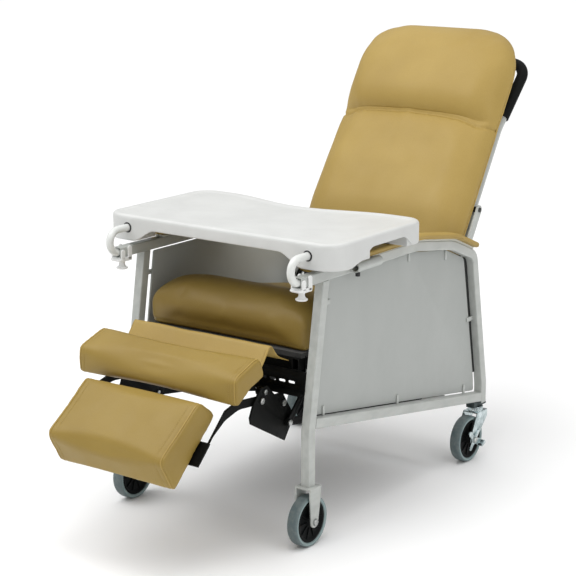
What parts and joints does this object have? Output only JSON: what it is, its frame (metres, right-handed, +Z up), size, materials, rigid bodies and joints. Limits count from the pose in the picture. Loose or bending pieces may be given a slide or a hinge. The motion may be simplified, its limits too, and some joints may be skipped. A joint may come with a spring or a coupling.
{
  "type": "patient recliner chair",
  "caption": "Wheeled clinical recliner with padded seat, back and leg rest, side panels, push bar and a removable over-lap tray.",
  "frame": {"origin": "on the floor, under the middle of the chair's box", "axes": "+X to the sitter's left, the chair faces -Y, +Z up"},
  "size_m": [0.71, 1.5498, 1.1638],
  "materials": {
    "frame_paint": "satin",
    "panel_grey": "satin",
    "clip_grey": "satin",
    "pad_base": "satin",
    "black_steel": "satin",
    "fastener": "satin",
    "black_plastic": "matte",
    "board": "matte",
    "dust_cover": "matte",
    "vinyl": "satin",
    "grip_foam": "matte",
    "tray_plastic": "satin",
    "clamp_white": "satin",
    "tyre_grey": "matte",
    "hub_black": "satin",
    "caster_chrome": "polished"
  },
  "bodies": {
    "root": {"left_arm_tube": "frame_paint", "right_arm_tube": "frame_paint", "front_legs": "frame_paint", "bottom_rails": "frame_paint", "left_side_panel": "panel_grey", "right_side_panel": "panel_grey", "panel_clips": "clip_grey", "left_arm_pad": "vinyl", "right_arm_pad": "vinyl", "arm_pad_bases": "pad_base", "accessory_sockets": "frame_paint", "socket_screws": "black_plastic", "front_cross_angle": "black_steel", "rear_cross_tube": "frame_paint", "lower_cross_tube": "frame_paint", "seat_rails": "black_steel", "seat_deck": "dust_cover", "seat_cushion": "vinyl", "leg_flap": "vinyl", "mechanism_plates": "black_steel", "mechanism_braces": "black_steel", "mechanism_bolts": "fastener", "front_forks": "frame_paint", "front_axles": "fastener", "caster_mounts": "frame_paint", "back_hinge_brackets": "black_steel", "back_hinge_pins": "fastener", "tray_clamps": "clamp_white"},
    "back": {"back_frame_tube": "frame_paint", "push_grip": "grip_foam", "back_board": "dust_cover", "back_cushion": "vinyl", "headrest_cushion": "vinyl", "back_link_bars": "frame_paint", "back_link_bolts": "black_plastic"},
    "lower_leg_rest": {"lower_leg_pad": "vinyl", "lower_leg_board": "board", "legrest_arms": "black_steel"},
    "upper_leg_rest": {"upper_leg_pad": "vinyl", "upper_leg_board": "board", "upper_pad_brackets": "black_steel"},
    "tray_table": {"tray": "tray_plastic", "tray_hooks": "frame_paint"},
    "left_knob": {"left_clamp_knob": "clamp_white"},
    "left_front_wheel": {"left_front_tyre": "tyre_grey", "left_front_hub": "hub_black"},
    "left_caster": {"left_caster_fork": "caster_chrome", "left_caster_axle": "fastener"},
    "left_rear_wheel": {"left_rear_tyre": "tyre_grey", "left_rear_hub": "hub_black"},
    "left_brake": {"left_brake_lever": "caster_chrome"},
    "right_knob": {"right_clamp_knob": "clamp_white"},
    "right_front_wheel": {"right_front_tyre": "tyre_grey", "right_front_hub": "hub_black"},
    "right_caster": {"right_caster_fork": "caster_chrome", "right_caster_axle": "fastener"},
    "right_rear_wheel": {"right_rear_tyre": "tyre_grey", "right_rear_hub": "hub_black"},
    "right_brake": {"right_brake_lever": "caster_chrome"}
  },
  "joints": [
    {"name": "back_recline", "type": "hinge", "parent": "root", "child": "back", "pos_m": [0, 0.32437, 0.47], "axis": [-1, 0, 0], "range_deg": [-20.5, 23.5]},
    {"name": "legrest_swing", "type": "hinge", "parent": "root", "child": "lower_leg_rest", "pos_m": [0, -0.44363, 0.37], "axis": [-1, 0, 0], "range_deg": [-90, 22]},
    {"name": "upper_pad_tilt", "type": "hinge", "parent": "root", "child": "upper_leg_rest", "pos_m": [0, -0.43063, 0.389], "axis": [-1, 0, 0], "range_deg": [-77, 20]},
    {"name": "tray_slide", "type": "slide", "parent": "root", "child": "tray_table", "axis": [0, -1, 0], "range_m": [0, 0.15]},
    {"name": "left_knob_turn", "type": "hinge", "parent": "root", "child": "left_knob", "pos_m": [0.277, -0.38363, 0.625], "axis": [0, 0, 1], "range_deg": [0, 540]},
    {"name": "left_front_spin", "type": "hinge", "parent": "root", "child": "left_front_wheel", "pos_m": [0.277, -0.36063, 0.0635], "axis": [1, 0, 0], "continuous": true},
    {"name": "left_caster_swivel", "type": "hinge", "parent": "root", "child": "left_caster", "pos_m": [0.277, 0.43637, 0.146], "axis": [0, 0, 1], "continuous": true},
    {"name": "left_rear_spin", "type": "hinge", "parent": "left_caster", "child": "left_rear_wheel", "pos_m": [0.277, 0.38937, 0.0635], "axis": [1, 0, 0], "continuous": true},
    {"name": "left_brake_press", "type": "hinge", "parent": "left_caster", "child": "left_brake", "pos_m": [0.305, 0.38937, 0.0635], "axis": [-1, 0, 0], "range_deg": [0, 30]},
    {"name": "right_knob_turn", "type": "hinge", "parent": "root", "child": "right_knob", "pos_m": [-0.277, -0.38363, 0.625], "axis": [0, 0, 1], "range_deg": [0, 540]},
    {"name": "right_front_spin", "type": "hinge", "parent": "root", "child": "right_front_wheel", "pos_m": [-0.277, -0.36063, 0.0635], "axis": [1, 0, 0], "continuous": true},
    {"name": "right_caster_swivel", "type": "hinge", "parent": "root", "child": "right_caster", "pos_m": [-0.277, 0.43637, 0.146], "axis": [0, 0, 1], "continuous": true},
    {"name": "right_rear_spin", "type": "hinge", "parent": "right_caster", "child": "right_rear_wheel", "pos_m": [-0.277, 0.38937, 0.0635], "axis": [1, 0, 0], "continuous": true},
    {"name": "right_brake_press", "type": "hinge", "parent": "right_caster", "child": "right_brake", "pos_m": [-0.305, 0.38937, 0.0635], "axis": [-1, 0, 0], "range_deg": [0, 30]}
  ],
  "couplings": [
    {"joint": "upper_pad_tilt", "follows": "legrest_swing", "ratio": 0.844}
  ]
}
